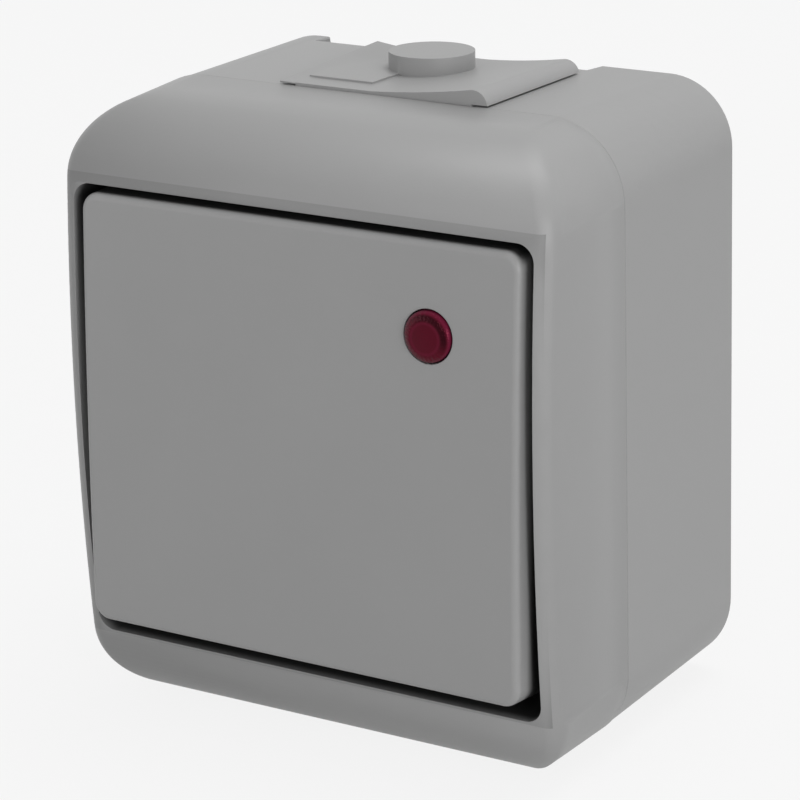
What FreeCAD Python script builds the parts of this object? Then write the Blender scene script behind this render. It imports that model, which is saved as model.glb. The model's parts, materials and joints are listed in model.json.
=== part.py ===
import FreeCAD
import Part
import math
import os

# Outdoor rocker switch for surface mounting. Lengths in millimetres, angles in degrees.
# Origin in the middle of the wall face, x to the right, y into the wall, z up.

# Case
case_width = 66.0
case_height = 75.5
case_depth = 45.0
hood_depth = 18.0
case_wall = 2.2
back_wall = 2.4
corner_radius = 9.5
front_radius = 9.5
side_edge_radius = 1.6
corner_rise = 0.06
hood_top_draft = 2.0
hood_bottom_draft = 0.7
hood_side_draft = 1.0
box_top_draft = 1.4
box_bottom_draft = 0.7
box_side_draft = 0.1
box_corner_taper = 0.05
parting_step = 0.06
parting_gap = 0.1

# Window of the hood and the water pan behind it
frame_side = 2.0
frame_top = 9.9
frame_bottom = 9.4
window_corner = 2.2
rim_bow_radius = 338.0
tunnel_wall = 1.8
pan_recess = 10.8
pan_thickness = 2.0
pan_opening_play = 0.6

# Seal between hood and box
tongue_thickness = 1.0
tongue_height = 1.5
tongue_play = 0.1
cover_gasket_height = 1.0

# Wall fixing slots and the shallow notch over the rear edge of the roof
fixing_margin = 9.75
fixing_slot_width = 4.4
fixing_slot_length = 8.0
fixing_pad_height = 1.2
fixing_pad_margin = 2.6
notch_left = -23.2
notch_right = 15.4
notch_drop = 0.9
notch_run = 3.2

# Cable entry insert in the roof of the box
insert_shift = 1.3
insert_width = 28.2
insert_setback = 5.5
insert_overlap = 2.0
insert_play = 0.15
insert_flange = 1.2
plate_lift = 0.2
plate_low_height = 0.45
plate_rear_height = 1.35
plate_middle_height = 0.5
plate_ridge_height = 1.9
plate_ridge_end = 1.6
plate_ridge_round = 2.1
stub_shift = -1.8
stub_offset = 3.4
stub_diameter = 10.3
stub_height = 2.7
stub_wall = 1.2
stub_cap = 1.0
pad_width = 8.8
pad_height = 0.65
pad_end_margin = 3.4
pad_side_margin = 1.9

# Rocker
rocker_gap = 1.4
rocker_lower_gap = 2.1
rocker_proud = 1.1
rocker_bow_radius = 858.0
rocker_flare = 2.5
rocker_corner = 2.2
rocker_edge_radius = 0.9
rocker_wall = 1.5
rocker_face = 1.8
rocker_skirt = 8.6
rocker_half_tilt = 2.5
rib_thickness = 1.4
rib_spacing = 9.0
hook_reach = 0.9
hook_thickness = 1.0
hook_width = 7.0
clip_play = 0.2

# Pilot lens in the rocker
lens_diameter = 6.2
lens_dome = 0.8
lens_flange = 1.2
lens_tail = 2.4
lens_play = 0.05

# Hinge of the rocker
pivot_recess = 10.0
trunnion_diameter = 4.0
trunnion_play = 0.05
cheek_thickness = 2.2
cheek_inner_half = 10.8
cheek_wall = 1.3
cheek_play = 0.3

# Cradle, plunger and spring
cradle_plate = 2.4
cradle_half_height = 9.0
cradle_standoff = 3.6
cradle_arm = 2.0
nose_diameter = 6.6
nose_cap = 2.0
plunger_diameter = 3.8
plunger_play = 0.08
plunger_reach = 2.5
tip_clearance = 0.3
spring_diameter = 3.2
spring_wire = 0.45
spring_length = 8.6
spring_turns = 6.0
spring_play = 0.1

# Mechanism tray and lid
base_half_width = 20.8
base_half_height = 19.4
base_standoff = 7.0
base_depth = 15.0
base_wall = 1.6
base_floor = 3.0
base_corner = 2.0
lid_thickness = 2.0
lid_slot_half_width = 8.0
lid_slot_half_height = 5.5
lug_margin = 3.0
lug_width = 8.0
lug_thickness = 2.0
collar_room = 1.0
collar_half_height = 9.4
collar_wall = 1.4
collar_corner = 2.0
mechanism_gasket_height = 1.2

# Screws and posts
post_radius = 3.1
post_drop = 1.0
post_room = 0.6
screw_radius = 1.4
thread_play = 0.05
screw_hole_play = 0.2
head_radius = 2.7
head_height = 1.8
drive_slot_width = 0.8
drive_slot_depth = 0.9
cover_screw_rise = 20.0
cover_screw_length = 16.0
mechanism_screw_length = 10.0
pilot_extra = 2.0

# Seesaw contact and its fulcrum
strip_thickness = 0.8
strip_width = 5.0
seesaw_width = 7.0
seesaw_half_length = 12.0
seesaw_half_tilt = 4.0
seesaw_recess = 5.5
fulcrum_radius = 0.8
fulcrum_width = 6.0
fulcrum_play = 0.05
contact_radius = 1.5
contact_height = 0.8
contact_rise = 10.0
contact_clearance = 0.25

# Clamp cages
clamp_shift = 12.0
clamp_length = 6.0
clamp_width = 8.0
clamp_wall = 1.2
clamp_thread_wall = 2.0
clamp_room = 3.6
clamp_play = 0.1
strip_end_margin = 0.5
terminal_head_radius = 2.3
terminal_head_height = 1.6
terminal_head_gap = 1.5
terminal_tip_gap = 0.2
driver_hole_radius = 2.6
wire_hole_radius = 1.4
seat_margin = 0.5

# Pilot lamp
lamp_side_margin = 2.7
lamp_top_margin = 3.45
lamp_hole_play = 1.2
holder_radius = 3.0
holder_height = 5.0
holder_floor = 1.2
bulb_radius = 2.1
bulb_proud = 1.2
bulb_play = 0.15
leg_radius = 0.3
leg_half_spacing = 0.9
leg_bend = 0.8
leg_hole_play = 0.1
leg_reach = 1.0
leg_wall_gap = 1.4
leg_crossing_shift = 7.0
resistor_radius = 0.8
resistor_length = 5.0
resistor_shift = 8.0
resistor_play = 0.05

V = FreeCAD.Vector
X_AXIS = V(1, 0, 0)
Y_AXIS = V(0, 1, 0)
Z_AXIS = V(0, 0, 1)
cut_margin = 1.0
fold_limit = 1.0
wire_flats = 8

# Places that several pieces share
box_depth = case_depth - hood_depth
y_parting = -box_depth
window_width = case_width - 2 * frame_side
window_height = case_height - frame_top - frame_bottom
window_z = (frame_bottom - frame_top) / 2
fixing_spacing = case_height - 2 * fixing_margin
insert_depth = box_depth - insert_setback
roof_z = case_height / 2 - parting_step
y_pan = pan_recess - case_depth
y_pan_back = y_pan + pan_thickness
pivot = V(0, pivot_recess - case_depth, window_z)
y_face = -case_depth - rocker_proud
y_skirt = y_face + rocker_skirt
rocker_width = window_width - 2 * rocker_gap
rocker_height = window_height - rocker_gap - rocker_lower_gap
rocker_z = window_z + (rocker_lower_gap - rocker_gap) / 2
y_cradle_back = pivot.y - cradle_standoff
y_cradle = y_cradle_back - cradle_plate
cradle_half_width = cheek_inner_half - cheek_play
y_base_back = -base_standoff
y_floor = y_base_back - base_floor
y_base = y_base_back - base_depth
y_lid = y_base - lid_thickness
y_collar = y_pan_back + mechanism_gasket_height
seesaw_axis = V(0, y_base + seesaw_recess, window_z)
seesaw_bump = fulcrum_radius + fulcrum_play + strip_thickness
y_tip = seesaw_axis.y - seesaw_bump - tip_clearance
y_nose = y_tip - plunger_reach
bore_radius = plunger_diameter / 2 + plunger_play
y_bore_end = y_cradle_back + nose_cap
y_plunger = y_bore_end + spring_length
cheek_outer_half = cheek_inner_half + cheek_thickness
collar_half_width = cheek_outer_half + collar_room + collar_wall
post_shift = base_half_width + post_radius + post_room
lens_shift = base_half_width - lamp_side_margin
lens_rise = base_half_height - lamp_top_margin
lens_z = window_z + lens_rise
swing = math.radians(seesaw_half_tilt)
contact_travel = contact_height * math.cos(swing) + (contact_rise + contact_radius) * math.sin(swing)
y_fixed_contact = seesaw_axis.y + contact_travel + contact_clearance
y_switched_strip = y_fixed_contact + contact_height
y_common_strip = y_floor - strip_thickness
contact_z = window_z + contact_rise
strip_reach = clamp_shift + clamp_length / 2 + strip_end_margin


def slope(draft):
    """Rise per length of a face with this draft."""
    return math.tan(math.radians(draft))


def span(middle, width):
    """Low and high end of a width about its middle."""
    return (middle - width / 2, middle + width / 2)


def block(x_span, y_span, z_span):
    """Straight block between three pairs of limits."""
    low = V(x_span[0], y_span[0], z_span[0])
    size = V(x_span[1], y_span[1], z_span[1]) - low
    return Part.makeBox(size.x, size.y, size.z, low)


def rod(radius, y_span, x=0.0, z=0.0):
    """Round bar along y."""
    return Part.makeCylinder(radius, y_span[1] - y_span[0], V(x, y_span[0], z), Y_AXIS)


def axle(radius, x_span, y, z):
    """Round bar along x."""
    return Part.makeCylinder(radius, x_span[1] - x_span[0], V(x_span[0], y, z), X_AXIS)


def outline(width, height, radius, y, x=0.0, z=0.0, top_radius=None):
    """Rounded rectangle that faces along y, with a radius of their own for the top corners if given."""
    arcs = []
    for quarter, (side, level) in enumerate(((1, 1), (-1, 1), (-1, -1), (1, -1))):
        corner = top_radius if top_radius and level > 0 else radius
        centre = V(x + side * (width / 2 - corner), y, z + level * (height / 2 - corner))
        points = []
        for part in (0, 45, 90):
            angle = math.radians(90 * quarter + part)
            points.append(centre + V(math.cos(angle), 0, math.sin(angle)) * corner)
        arcs.append(points)
    edges = []
    for number, points in enumerate(arcs):
        edges.append(Part.Arc(*points).toShape())
        edges.append(Part.makeLine(points[2], arcs[(number + 1) % len(arcs)][0]))
    return Part.Wire(edges)


def prism(width, height, radius, y_span, x=0.0, z=0.0):
    """Rounded rectangle drawn out along y."""
    face = Part.Face(outline(width, height, radius, y_span[0], x, z))
    return face.extrude(V(0, y_span[1] - y_span[0], 0))


def slot_form(width, length, y_span, z):
    """Round-ended slot along z, drawn out along y."""
    radius = width / 2
    reach = length / 2 - radius
    side = V(radius, 0, 0)
    low = V(0, y_span[0], z - reach)
    high = V(0, y_span[0], z + reach)
    edges = [
        Part.makeLine(low + side, high + side),
        Part.Arc(high + side, high + Z_AXIS * radius, high - side).toShape(),
        Part.makeLine(high - side, low - side),
        Part.Arc(low - side, low - Z_AXIS * radius, low + side).toShape(),
    ]
    return Part.Face(Part.Wire(edges)).extrude(V(0, y_span[1] - y_span[0], 0))


def sheet(points, x_span):
    """Flat outline of points in a plane of constant x, drawn out along x."""
    corners = [V(x_span[0], point.y, point.z) for point in points]
    face = Part.Face(Part.makePolygon(corners + corners[:1]))
    return face.extrude(V(x_span[1] - x_span[0], 0, 0))


def joined(solids):
    """One solid from several that meet."""
    return solids[0].multiFuse(solids[1:]).removeSplitter()


def without(solid, cuts):
    """A solid less its cuts."""
    for tool in cuts:
        solid = solid.cut(tool)
    return solid.removeSplitter()


def at_rest(shape):
    """Turns a piece of the rocker to the rest position, with the top edge pressed in."""
    shape.rotate(pivot, X_AXIS, -rocker_half_tilt)
    return shape


def seesaw_at_rest(shape):
    """Turns a piece of the seesaw to the open position."""
    shape.rotate(seesaw_axis, X_AXIS, seesaw_half_tilt)
    return shape


def along_roof(shape):
    """Lays a piece drawn on a level roof along the sloping roof of the box."""
    shape.rotate(V(0, y_parting, roof_z), X_AXIS, -box_top_draft)
    return shape


def front_corner(start, run_direction, radius, bow_centre, bow_radius):
    """Arc that leads from a straight wall into the bowed front, tangent to both."""
    normal = V(0, -run_direction.z, run_direction.y)
    if normal.dot(bow_centre - start) < 0:
        normal = normal * -1
    offset = start + normal * radius - bow_centre
    along = offset.dot(run_direction)
    reach = (bow_radius - radius) ** 2 - offset.dot(offset)
    centre = start + normal * radius + run_direction * (math.sqrt(along * along + reach) - along)
    outward = (centre - bow_centre).normalize()
    middle = (outward - normal).normalize()
    return [centre - normal * radius, centre + middle * radius, centre + outward * radius]


def hood_limits(inset, y):
    """Half width, top and bottom of the drafted hood at a depth, drawn in by a wall."""
    run = y - y_parting
    half_width = case_width / 2 - inset + run * slope(hood_side_draft)
    top = case_height / 2 - inset + run * slope(hood_top_draft)
    bottom = -case_height / 2 + inset - run * slope(hood_bottom_draft)
    return half_width, top, bottom


def hood_profile(inset, y_rear):
    """Side view of the hood, bowed in front and rolled at top and bottom, drawn out across it."""
    half_width, top_z, bottom_z = hood_limits(inset, y_rear)
    bow_radius = rim_bow_radius - inset
    bow_centre = V(0, rim_bow_radius - case_depth, window_z)
    crest = bow_centre - V(0, bow_radius, 0)
    radius = front_radius - inset
    top = V(0, y_rear, top_z)
    bottom = V(0, y_rear, bottom_z)
    top_run = V(0, -1, -slope(hood_top_draft)).normalize()
    bottom_run = V(0, -1, slope(hood_bottom_draft)).normalize()
    upper = front_corner(top, top_run, radius, bow_centre, bow_radius)
    lower = front_corner(bottom, bottom_run, radius, bow_centre, bow_radius)
    edges = [
        Part.makeLine(top, upper[0]),
        Part.Arc(*upper).toShape(),
        Part.Arc(upper[2], crest, lower[2]).toShape(),
        Part.Arc(lower[2], lower[1], lower[0]).toShape(),
        Part.makeLine(lower[0], bottom),
        Part.makeLine(bottom, top),
    ]
    face = Part.Face(Part.Wire(edges))
    face.translate(V(-half_width - cut_margin, 0, 0))
    return face.extrude(V(2 * (half_width + cut_margin), 0, 0))


def hood_form(inset, y_rear):
    """Closed form of the hood, drawn in by a wall on all sides but the rear."""
    sections = []
    for y in (y_rear, -case_depth - cut_margin):
        half_width, top, bottom = hood_limits(inset, y)
        height = top - bottom + 2 * corner_rise
        sections.append(outline(2 * half_width, height, corner_radius - inset, y, 0.0, (top + bottom) / 2))
    sleeve = Part.makeLoft(sections, True, True)
    return hood_profile(inset, y_rear).common(sleeve).removeSplitter()


def fold_angle(solid, edge):
    """Angle in degrees between the two faces of a solid that meet at the middle of an edge."""
    middle = edge.valueAt((edge.FirstParameter + edge.LastParameter) / 2)
    normals = []
    for face in solid.ancestorsOfType(edge, Part.Face):
        normals.append(face.normalAt(*face.Surface.parameter(middle)))
    return math.degrees(normals[0].getAngle(normals[1]))


def hood_outside(y_rear):
    """Outer form of the hood, with every fold rounded that doesn't lie on the parting line."""
    form = hood_form(0.0, y_rear)
    folds = []
    for edge in form.Edges:
        if edge.BoundBox.YMin < y_rear - parting_gap and fold_angle(form, edge) > fold_limit:
            folds.append(edge)
    return form.makeFillet(side_edge_radius, folds)


def box_outline(inset, y):
    """Section of the rear box at a depth, drawn in by a wall."""
    run = y - y_parting
    width = case_width - 2 * (parting_step + inset + run * slope(box_side_draft))
    top = roof_z - inset - run * slope(box_top_draft)
    bottom = -roof_z + inset + run * slope(box_bottom_draft)
    corner = corner_radius - parting_step - inset
    top_corner = corner - run * box_corner_taper
    return outline(width, top - bottom, corner, y, 0.0, (top + bottom) / 2, top_corner)


def box_form(inset, y_rear, y_front):
    """Drafted body of the rear box between two depths."""
    return Part.makeLoft([box_outline(inset, y_rear), box_outline(inset, y_front)], True, True)


def rim_ring(outer_inset, inner_inset, y_span):
    """Ring that follows the parting outline of the case."""
    outer = prism(
        case_width - 2 * outer_inset, case_height - 2 * outer_inset, corner_radius - outer_inset, y_span
    )
    inner = prism(
        case_width - 2 * inner_inset,
        case_height - 2 * inner_inset,
        corner_radius - inner_inset,
        (y_span[0] - cut_margin, y_span[1] + cut_margin),
    )
    return outer.cut(inner)


def screw_places():
    """Places of the two cover screws, on a diagonal of the pan."""
    return [
        (-post_shift, window_z + cover_screw_rise),
        (post_shift, window_z - cover_screw_rise),
    ]


def lug_places():
    """Places of the two mechanism screws, beside the tray."""
    return [(-post_shift, window_z), (post_shift, window_z)]


def clamp_places():
    """Place of each clamp cage and the back of the strip in it: common, then switched."""
    return [
        (-clamp_shift, y_common_strip + strip_thickness, window_z),
        (clamp_shift, y_switched_strip + strip_thickness, contact_z),
    ]


def slotted_screw(x, y_seat, z, radius, length, cap_radius, cap_height):
    """Screw with a slotted flat head that sits on y_seat and points into the wall."""
    head = rod(cap_radius, (y_seat - cap_height, y_seat), x, z)
    shank = rod(radius, (y_seat, y_seat + length), x, z)
    slot = block(
        span(x, drive_slot_width),
        (y_seat - cap_height - cut_margin, y_seat - cap_height + drive_slot_depth),
        span(z, 2 * cap_radius + cut_margin),
    )
    return joined([head, shank]).cut(slot)


def make_rear_box():
    """Box on the wall: drafted shell, sealing tongue, posts, fixing slots and the cable slot."""
    shell = box_form(0.0, 0.0, y_parting)
    shell = shell.cut(box_form(case_wall, -back_wall, y_parting - cut_margin))
    tongue_outer = parting_step + case_wall - tongue_thickness
    tongue = rim_ring(tongue_outer, parting_step + case_wall, (y_parting - tongue_height, y_parting))
    solids = [shell, tongue]
    cuts = []
    foot = -back_wall / 2
    y_cover_post = y_parting + post_drop
    for x, z in screw_places():
        solids.append(rod(post_radius, (y_cover_post, foot), x, z))
        y_end = y_pan + cover_screw_length + pilot_extra
        cuts.append(rod(screw_radius + thread_play, (y_cover_post - cut_margin, y_end), x, z))
    y_lug_back = y_base + lug_thickness
    for x, z in lug_places():
        solids.append(rod(post_radius, (y_lug_back, foot), x, z))
        y_end = y_base + mechanism_screw_length + pilot_extra
        cuts.append(rod(screw_radius + thread_play, (y_lug_back - cut_margin, y_end), x, z))
    for z in (-fixing_spacing / 2, fixing_spacing / 2):
        pad_length = fixing_slot_length + 2 * fixing_pad_margin
        pad_size = fixing_slot_width + 2 * fixing_pad_margin
        y_pad = -back_wall - fixing_pad_height
        solids.append(prism(pad_size, pad_length, fixing_pad_margin, (y_pad, foot), 0.0, z))
        cuts.append(slot_form(fixing_slot_width, fixing_slot_length, (y_pad - cut_margin, cut_margin), z))
    slot_width = insert_width - 2 * insert_overlap
    y_slot_end = y_parting + insert_depth - insert_overlap
    y_slot_front = y_parting - tongue_height - cut_margin
    cuts.append(
        block(
            span(insert_shift, slot_width),
            (y_slot_front, y_slot_end),
            (roof_z - corner_radius, roof_z + cut_margin),
        )
    )
    roof_at_wall = roof_z - box_depth * slope(box_top_draft)
    roof_at_notch = roof_at_wall + notch_run * slope(box_top_draft)
    notch = [
        V(0, -notch_run, roof_at_notch),
        V(0, cut_margin, roof_at_wall - notch_drop - cut_margin * notch_drop / notch_run),
        V(0, cut_margin, roof_z + cut_margin),
        V(0, -notch_run, roof_z + cut_margin),
    ]
    cuts.append(sheet(notch, (notch_left, notch_right)))
    return without(joined(solids), cuts)


def make_front_cover():
    """Hood: drafted and bowed shell, window tunnel, water pan, screw bosses and seal rebate."""
    tunnel = prism(
        window_width + 2 * tunnel_wall,
        window_height + 2 * tunnel_wall,
        window_corner + tunnel_wall,
        (-case_depth - cut_margin, y_pan_back),
        0.0,
        window_z,
    )
    window = prism(
        window_width, window_height, window_corner, (-case_depth - 2 * cut_margin, y_pan), 0.0, window_z
    )
    room = hood_form(case_wall, y_parting + cut_margin).cut(tunnel)
    solids = [hood_outside(y_parting - parting_gap).cut(room)]
    cuts = [window]
    for x, z in screw_places():
        y_boss = y_parting + post_drop - parting_gap
        solids.append(rod(post_radius, (y_pan_back - pan_thickness / 2, y_boss), x, z))
        hole = (y_pan - cut_margin, y_boss + cut_margin)
        cuts.append(rod(screw_radius + screw_hole_play, hole, x, z))
    through = (y_pan - cut_margin, y_pan_back + cut_margin)
    cuts.append(
        prism(
            2 * (cheek_outer_half + pan_opening_play),
            2 * (collar_half_height - collar_wall),
            collar_corner,
            through,
            0.0,
            window_z,
        )
    )
    cuts.append(rod(bulb_radius + lamp_hole_play, through, lens_shift, lens_z))
    rebate_inset = parting_step + case_wall - tongue_thickness - tongue_play
    y_rebate = y_parting - tongue_height - cover_gasket_height
    rebate = prism(
        case_width - 2 * rebate_inset,
        case_height - 2 * rebate_inset,
        corner_radius - rebate_inset,
        (y_rebate, y_parting + cut_margin),
    )
    inner_inset = parting_step + case_wall + tongue_thickness
    keep = prism(
        case_width - 2 * inner_inset,
        case_height - 2 * inner_inset,
        corner_radius - inner_inset,
        (y_rebate - cut_margin, y_parting + 2 * cut_margin),
    )
    cuts.append(rebate.cut(keep))
    return without(joined(solids), cuts)


def make_cover_gasket():
    """Sealing ring between the tongue of the box and the rebate of the hood."""
    outer_inset = parting_step + case_wall - tongue_thickness
    y_front = y_parting - tongue_height - cover_gasket_height
    return rim_ring(outer_inset, parting_step + case_wall, (y_front, y_parting - tongue_height))


def make_cover_screws():
    """Two screws that hold the hood, with their heads on the pan."""
    screws = []
    for x, z in screw_places():
        screws.append(slotted_screw(x, y_pan, z, screw_radius, cover_screw_length, head_radius, head_height))
    return Part.makeCompound(screws)


def make_mechanism_screws():
    """Two screws through the lugs of the tray."""
    screws = []
    for x, z in lug_places():
        length = mechanism_screw_length
        screws.append(slotted_screw(x, y_base, z, screw_radius, length, head_radius, head_height))
    return Part.makeCompound(screws)


def plate_section(y, left_height, ridge_height):
    """Section of the saddle plate at a depth: raised left end, sagging middle and rounded ridge."""
    half = insert_width / 2
    left = V(insert_shift - half, y, roof_z + left_height)
    right = V(insert_shift + half, y, roof_z + plate_lift)
    foot = V(left.x, y, right.z)
    crest = V(right.x - plate_ridge_round, y, roof_z + ridge_height)
    middle = V(insert_shift, y, roof_z + plate_middle_height)
    turn = math.sin(math.radians(45))
    flank = V(right.x - plate_ridge_round * (1 - turn), y, right.z + (crest.z - right.z) * turn)
    edges = [
        Part.makeLine(foot, right),
        Part.Arc(right, flank, crest).toShape(),
        Part.Arc(crest, middle, left).toShape(),
        Part.makeLine(left, foot),
    ]
    return Part.Wire(edges)


def make_cable_entry_insert():
    """Moulded insert: twisted saddle plate over the roof, web in the slot, flange below and a blind stub."""
    y_front = y_parting + parting_gap
    y_back = y_parting + insert_depth
    front = plate_section(y_front, plate_low_height, plate_ridge_height)
    rear = plate_section(y_back, plate_rear_height, plate_ridge_end)
    plate = Part.makeLoft([front, rear], True, True)
    plate_foot = roof_z + plate_lift
    web_width = insert_width - 2 * (insert_overlap + insert_play)
    y_web = y_back - insert_overlap - insert_play
    under_roof = roof_z - case_wall - insert_play
    web_levels = (under_roof - insert_flange / 2, plate_foot + plate_lift)
    web = block(span(insert_shift, web_width), (y_front, y_web), web_levels)
    y_flange = y_parting + tongue_height
    flange_levels = (under_roof - insert_flange, under_roof)
    flange = block(span(insert_shift, insert_width), (y_flange, y_back), flange_levels)
    x_stub = insert_shift + stub_shift
    y_stub = y_parting + insert_depth / 2 + stub_offset
    pad_left = insert_shift - insert_width / 2 + pad_side_margin
    pad = block(
        (pad_left, pad_left + pad_width),
        (y_front + pad_end_margin, y_stub),
        (plate_foot, roof_z + pad_height),
    )
    stub = Part.makeCylinder(stub_diameter / 2, stub_height - plate_lift, V(x_stub, y_stub, plate_foot))
    bore_foot = V(x_stub, y_stub, under_roof - insert_flange - cut_margin)
    bore_height = roof_z + stub_height - stub_cap - bore_foot.z
    bore = Part.makeCylinder(stub_diameter / 2 - stub_wall, bore_height, bore_foot)
    return along_roof(joined([plate, web, flange, pad, stub]).cut(bore))


def rocker_form(inset, y_front, y_rear):
    """Flared body of the rocker between two depths, drawn in by a wall."""
    sections = []
    for y in (y_front, y_rear):
        grow = 2 * ((y - y_face) * slope(rocker_flare) - inset)
        corner = rocker_corner - inset / 2
        sections.append(outline(rocker_width + grow, rocker_height + grow, corner, y, 0.0, rocker_z))
    return Part.makeLoft(sections, True, True)


def make_rocker():
    """Hollow rocker key: bowed face, flared skirt, ribs round the cradle and two clip hooks."""
    body = rocker_form(0.0, y_face - cut_margin, y_skirt)
    half = rocker_width
    bow = axle(rocker_bow_radius, (-half, half), y_face + rocker_bow_radius, window_z)
    body = body.common(bow)
    y_inside = y_face + rocker_face
    rim = []
    for edge in body.Edges:
        if edge.BoundBox.YMax < y_inside and abs(edge.tangentAt(edge.FirstParameter).y) < 0.5:
            rim.append(edge)
    body = body.makeFillet(rocker_edge_radius, rim)
    body = body.cut(rocker_form(rocker_wall, y_inside, y_skirt + cut_margin))
    wide = cradle_half_width + clip_play
    high = cradle_half_height + clip_play
    y_rib_front = y_inside - rocker_face / 4
    y_rib_back = y_cradle_back - clip_play
    solids = [body]
    for side in (-1, 1):
        middle = side * (wide + rib_thickness / 2)
        length = 2 * (high + rib_thickness)
        solids.append(block(span(middle, rib_thickness), (y_rib_front, y_rib_back), span(window_z, length)))
        rest = side * rib_spacing / 2
        reach = span(window_z, 2 * (high + rib_thickness / 2))
        solids.append(block(span(rest, rib_thickness), (y_rib_front, y_cradle), reach))
        level = window_z + side * (high + rib_thickness / 2)
        y_hook = y_cradle_back + clip_play
        leg = block(span(0.0, hook_width), (y_rib_front, y_hook + hook_thickness), span(level, rib_thickness))
        tip = window_z + side * (high - hook_reach / 2)
        hook = block(
            span(0.0, hook_width),
            (y_hook, y_hook + hook_thickness),
            span(tip, hook_reach + rib_thickness / 2),
        )
        y_wall_back = y_cradle
        rib_length = 2 * wide + rib_thickness
        wall = block(span(0.0, rib_length), (y_rib_front, y_wall_back), span(level, rib_thickness))
        solids += [leg, hook, wall]
    hole_radius = lens_diameter / 2 + lens_play
    hole = rod(hole_radius, (y_face - cut_margin, y_inside + cut_margin), lens_shift, lens_z)
    return at_rest(joined(solids).cut(hole))


def make_indicator_lens():
    """Domed lens with a flange behind the face of the rocker and a short light guide."""
    y_inside = y_face + rocker_face
    rise = lens_rise * lens_rise / (2 * rocker_bow_radius)
    y_rim = y_face + rise
    y_flange = y_inside + lens_flange
    stem = rod(lens_diameter / 2, (y_rim, y_flange), lens_shift, lens_z)
    radius = lens_diameter / 2
    ball = (radius * radius + lens_dome * lens_dome) / (2 * lens_dome)
    dome = Part.makeSphere(ball, V(lens_shift, y_rim + ball - lens_dome, lens_z))
    dome = dome.common(rod(radius, (y_rim - lens_dome - cut_margin, y_rim), lens_shift, lens_z))
    flange = rod(radius + lens_flange, (y_inside + lens_play, y_flange), lens_shift, lens_z)
    guide = rod(radius - lens_flange / 2, (y_flange, y_flange + lens_tail), lens_shift, lens_z)
    return at_rest(joined([stem, dome, flange, guide]))


def make_actuator_cradle():
    """Pivoting carrier: plate for the rocker, two arms with trunnions and a hollow nose."""
    plate = block(
        span(0.0, 2 * cradle_half_width), (y_cradle, y_cradle_back), span(window_z, 2 * cradle_half_height)
    )
    nose = rod(nose_diameter / 2, (y_cradle_back, y_nose), 0.0, window_z)
    solids = [plate, nose]
    arm_radius = trunnion_diameter / 2 + cheek_wall
    for side in (-1, 1):
        middle = side * (cradle_half_width - cradle_arm / 2)
        arm_span = span(middle, cradle_arm)
        solids.append(axle(arm_radius, arm_span, pivot.y, pivot.z))
        solids.append(block(arm_span, (y_cradle_back, pivot.y), span(pivot.z, 2 * arm_radius)))
        pin = side * (cradle_half_width + cheek_thickness / 2)
        length = cheek_thickness + cheek_play
        solids.append(axle(trunnion_diameter / 2, span(pin, length), pivot.y, pivot.z))
    bore = rod(bore_radius, (y_bore_end, y_nose + cut_margin), 0.0, window_z)
    return at_rest(joined(solids).cut(bore))


def make_actuator_plunger():
    """Round-ended pin in the nose of the cradle."""
    radius = plunger_diameter / 2
    shank = rod(radius, (y_plunger, y_tip - radius), 0.0, window_z)
    tip = Part.makeSphere(radius, V(0, y_tip - radius, window_z))
    return at_rest(joined([shank, tip]))


def wire_section(radius, centre, heading):
    """Section of a thin drawn wire, with as many flats as its size can show."""
    turn = FreeCAD.Rotation(Z_AXIS, heading)
    corners = []
    for number in range(wire_flats + 1):
        angle = 2 * math.pi * number / wire_flats
        corners.append(centre + turn.multVec(V(math.cos(angle), math.sin(angle), 0) * radius))
    return Part.makePolygon(corners)


def make_actuator_spring():
    """Coil spring between the end of the bore and the plunger."""
    ends = spring_wire / 2 + spring_play
    height = y_plunger - y_bore_end - 2 * ends
    radius = (spring_diameter - spring_wire) / 2
    helix = Part.Wire(Part.makeHelix(height / spring_turns, height, radius))
    start = helix.Edges[0].valueAt(helix.Edges[0].FirstParameter)
    heading = helix.Edges[0].tangentAt(helix.Edges[0].FirstParameter)
    coil = helix.makePipeShell([wire_section(spring_wire / 2, start, heading)], True, True)
    coil.rotate(V(0, 0, 0), X_AXIS, -90)
    coil.translate(V(0, y_bore_end + ends, window_z))
    return at_rest(coil)


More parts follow.
